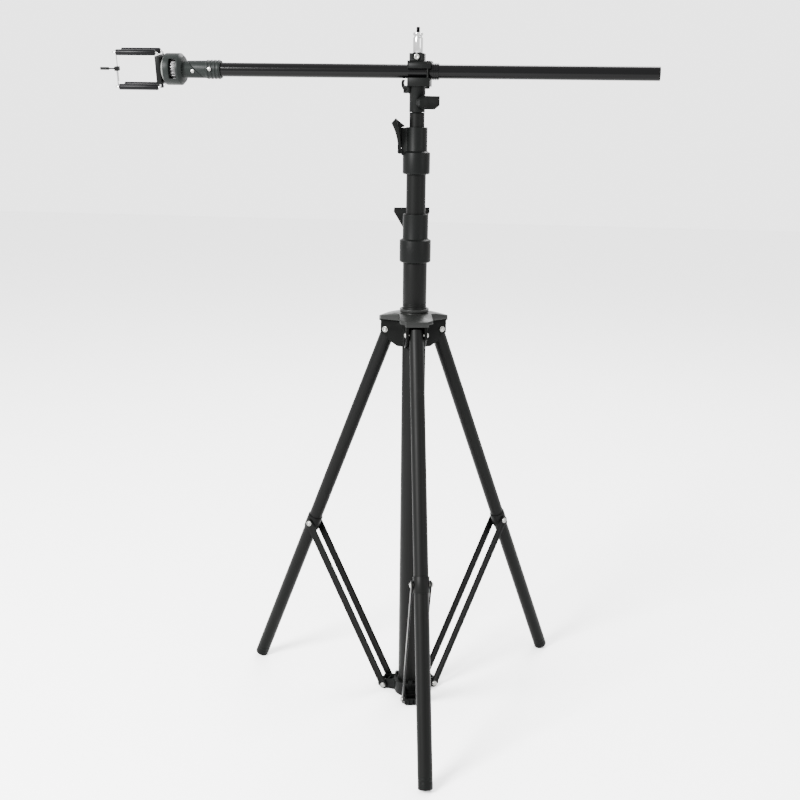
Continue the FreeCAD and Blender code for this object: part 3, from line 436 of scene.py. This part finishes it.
def grooveOutline(radius, height, groove):
    # four points of one groove round a turned piece, whose sides slope a little
    half, floor = groove["half"], radius - groove["deep"]
    return [(radius, height - half - groove["slope"]), (floor, height - half),
            (floor, height + half), (radius, height + half + groove["slope"])]


column = {"radius": 20, "bore": 18, "low": 3, "top": 822, "round": 0.12, "steps": 96,
          "grooves": (712.4, 715.4, 718.4), "groove": {"deep": 0.45, "half": 0.5, "slope": 0.2}}


def makeColumnTube():
    outline = [(column["bore"], column["low"]), (column["radius"], column["low"])]
    for height in column["grooves"]:
        outline += grooveOutline(column["radius"], height, column["groove"])
    outline += [(column["radius"], column["top"]), (column["bore"], column["top"])]
    bm = bmesh.new()
    lathe(bm, outline, upright, column["round"], column["steps"], closed=True)
    finishPiece("columnTube", bm, "column_tube")


bolt = {"shank": 2.9, "washer": 4.9, "washerTall": 0.7, "head": 4.1, "shoulder": 1, "dome": 0.4,
        "crest": 2.3, "tall": 2.7, "socket": 1.7, "socketDeep": 1.3, "drillPoint": 0.5,
        "lip": 0.1, "gap": 0.02, "round": 0.15, "steps": 40}
boltStarts = {"legPivot": 17.45, "brace": 16.6}


def boltOutline(start):
    # both heads of a through bolt, each with a washer, a domed head and a socket
    top = start + bolt["tall"]
    socketFloor = top - bolt["socketDeep"]
    washerTop = start + bolt["washerTall"]
    under = start + bolt["gap"]
    half = [
        (0, socketFloor - bolt["drillPoint"]), (bolt["socket"], socketFloor),
        (bolt["socket"], top - bolt["lip"]), (bolt["crest"], top),
        (bolt["head"] - bolt["dome"], top - bolt["shoulder"]), (bolt["head"], washerTop),
        (bolt["washer"], washerTop), (bolt["washer"], under), (bolt["shank"], under),
    ]
    return [(radius, -height) for radius, height in half] + half[::-1]


def makeBolts(name, node, jointNames, start):
    bm = bmesh.new()
    for jointName in jointNames:
        joint = joints[jointName]
        place = along(joint["axis"], joint["pos_m"])
        lathe(bm, boltOutline(start), place, bolt["round"], bolt["steps"])
    finishPiece(name, bm, node)


foot = {"rings": (0.35, 0.5, 0.65), "groove": {"deep": 0.35, "half": 0.35, "slope": 0.2},
        "dome": 2.2, "domeShare": 0.3, "edge": 0.8, "inset": 0.08, "lift": 0.05,
        "lean": 22.1405, "round": 0.12, "steps": 64}


def makeFoot(side):
    # the CAD foot's own length and radius, with three fine rings round it
    node = f"leg_foot_{side}"
    pivot = Vector(joints[f"leg_{side}_fold"]["pos_m"])
    lean = math.radians(foot["lean"])
    outward = Vector((pivot.x, pivot.y, 0)).normalized()
    place = along(outward * math.sin(lean) - Vector((0, 0, math.cos(lean))), pivot)
    unplace = place.inverted()
    local = [unplace @ vert.co / mm for vert in frame["nodes"][node].data.vertices]
    radius = max(Vector((spot.x, spot.y)).length for spot in local) - foot["inset"]
    low = min(spot.z for spot in local) + foot["lift"]
    high = max(spot.z for spot in local) - foot["inset"]
    outline = [(0, low), (radius - foot["edge"], low), (radius, low + foot["edge"])]
    for share in foot["rings"]:
        outline += grooveOutline(radius, low + share * (high - low), foot["groove"])
    dome = foot["dome"]
    bulge = dome * foot["domeShare"]
    outline += [(radius, high - dome), (radius - bulge, high - bulge), (radius - dome, high), (0, high)]
    bm = bmesh.new()
    lathe(bm, outline, place, foot["round"], foot["steps"])
    finishPiece(f"legFoot{side.title()}", bm, node)


spigot = {"shank": 7, "low": 1108.6, "base": 1117.55, "radius": 8, "top": 1149, "edge": 0.8,
          "groove": 1143, "grooveDeep": 1.6, "grooveHalf": 1, "grooveMouth": 1.8,
          "round": 0.25, "steps": 72}


def makeSpigot():
    # a smooth pin with a locking groove near its top
    radius, middle, top = spigot["radius"], spigot["groove"], spigot["top"]
    floor = radius - spigot["grooveDeep"]
    outline = [
        (0, spigot["low"]), (spigot["shank"], spigot["low"]), (spigot["shank"], spigot["base"]),
        (radius, spigot["base"]), (radius, middle - spigot["grooveMouth"]),
        (floor, middle - spigot["grooveHalf"]), (floor, middle + spigot["grooveHalf"]),
        (radius, middle + spigot["grooveMouth"]), (radius, top - spigot["edge"]),
        (radius - spigot["edge"], top), (0, top),
    ]
    bm = bmesh.new()
    lathe(bm, outline, upright, spigot["round"], spigot["steps"])
    finishPiece("topSpigot", bm, "top_spigot")


thread = {"core": 2.55, "crest": 3.12, "crestHalf": 0.06, "rootHalf": 0.55, "sunk": 0.1,
          "top": 1157.5, "below": 0.4, "chamfer": 0.5, "start": 0.45, "pitch": 1.25, "turns": 6,
          "stepsPerTurn": 40, "round": 0.12, "steps": 48}


def makeThread():
    # a plain core with a helical ridge wound round it
    core, top, low = thread["core"], thread["top"], spigot["top"] - thread["below"]
    bm = bmesh.new()
    lathe(bm, [(0, low), (core, low), (core, top - thread["chamfer"]), (core - thread["chamfer"], top),
               (0, top)], upright, thread["round"], thread["steps"])
    root = core - thread["sunk"]
    start = spigot["top"] + thread["start"]
    section = [(root, -thread["rootHalf"]), (thread["crest"], -thread["crestHalf"]),
               (thread["crest"], thread["crestHalf"]), (root, thread["rootHalf"])]
    ridge = [bm.verts.new((radius * mm, 0, (start + lift) * mm)) for radius, lift in section]
    edges = [bm.edges.new(pair) for pair in zip(ridge, ridge[1:])]
    bmesh.ops.spin(bm, geom=ridge + edges, cent=(0, 0, 0), axis=(0, 0, 1),
                   dvec=(0, 0, thread["pitch"] / thread["stepsPerTurn"] * mm),
                   angle=math.tau * thread["turns"], steps=thread["turns"] * thread["stepsPerTurn"],
                   use_merge=False)
    finishPiece("topThread", bm, "top_spigot", "shadowBlack")


makeColumnTube()
makeBolts("legPivotBolts", "leg_pivot_bolts", [f"leg_{side}_fold" for side in legSides],
          boltStarts["legPivot"])
for side in legSides:
    makeBolts(f"braceBolt{side.title()}", f"brace_bolt_{side}", [f"brace_{side}_fold"],
              boltStarts["brace"])
    makeFoot(side)
makeSpigot()
makeThread()
print("column, bolts, feet and spigot made")
